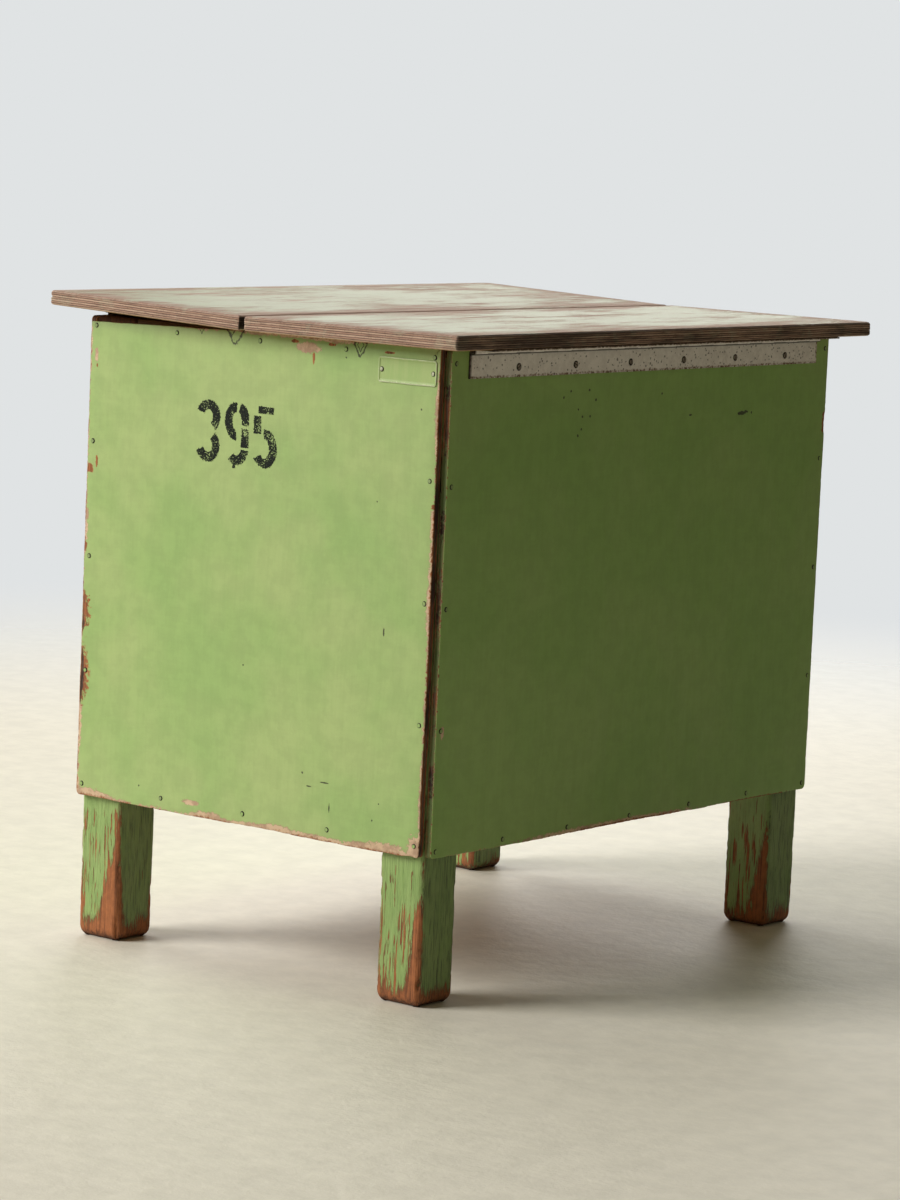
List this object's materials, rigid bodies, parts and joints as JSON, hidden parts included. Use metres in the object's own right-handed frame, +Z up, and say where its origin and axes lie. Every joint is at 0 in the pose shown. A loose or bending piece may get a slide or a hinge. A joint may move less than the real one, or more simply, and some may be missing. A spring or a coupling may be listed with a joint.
{
  "type": "lidded locker chest",
  "caption": "Plywood locker chest on square post legs, with an overhanging top split into hinged flaps that open outwards.",
  "frame": {"origin": "on the floor, under the middle of the top", "axes": "+Z up, -Y towards the front panel that carries the nameplate, +X towards the right wall; the flaps' seam runs along Y"},
  "size_m": [0.4268, 0.582, 0.5352],
  "materials": {
    "green_panel": "worn satin green paint on plywood",
    "green_post": "worn satin green paint on timber, bare at the corners and feet",
    "top_plywood": "pale green paint worn thin over plywood, bare edges",
    "bare_timber": "bare sawn timber and plywood",
    "hinge_steel": "dull grey steel with specks of rust",
    "screw_steel": "dull steel",
    "nail_steel": "painted over with the panels, bare in places",
    "nameplate_paint": "thick green paint over metal",
    "plate_pin_paint": "thick green paint over metal"
  },
  "bodies": {
    "chest": {"back_panel": "green_panel", "back_panel_nails": "nail_steel", "bottom_board": "bare_timber", "bottom_board_nails": "nail_steel", "bottom_rail_back": "bare_timber", "bottom_rail_front": "bare_timber", "bottom_rail_left": "bare_timber", "bottom_rail_right": "bare_timber", "front_panel": "green_panel", "front_panel_nails": "nail_steel", "left_hinge_pin": "hinge_steel", "left_hinge_wall_leaf": "hinge_steel", "left_hinge_wall_screws": "screw_steel", "left_panel": "green_panel", "left_panel_nails": "nail_steel", "nameplate": "nameplate_paint", "nameplate_pins": "plate_pin_paint", "post_back_left": "green_post", "post_back_right": "green_post", "post_front_left": "green_post", "post_front_right": "green_post", "right_hinge_pin": "hinge_steel", "right_hinge_wall_leaf": "hinge_steel", "right_hinge_wall_screws": "screw_steel", "right_panel": "green_panel", "right_panel_nails": "nail_steel", "top_rail_back": "bare_timber", "top_rail_front": "bare_timber", "top_rail_left": "bare_timber", "top_rail_right": "bare_timber"},
    "right_flap": {"right_flap": "top_plywood", "right_hinge_flap_leaf": "hinge_steel", "right_hinge_flap_screws": "screw_steel"},
    "left_flap": {"left_flap": "top_plywood", "left_hinge_flap_leaf": "hinge_steel", "left_hinge_flap_screws": "screw_steel"}
  },
  "joints": [
    {"name": "right_flap_hinge", "type": "hinge", "parent": "chest", "child": "right_flap", "pos_m": [0.1918, -0.004, 0.5134], "axis": [0, 1, 0], "range_deg": [0, 95]},
    {"name": "left_flap_hinge", "type": "hinge", "parent": "chest", "child": "left_flap", "pos_m": [-0.1918, -0.004, 0.51969], "axis": [0, -1, 0], "range_deg": [0, 95]}
  ]
}
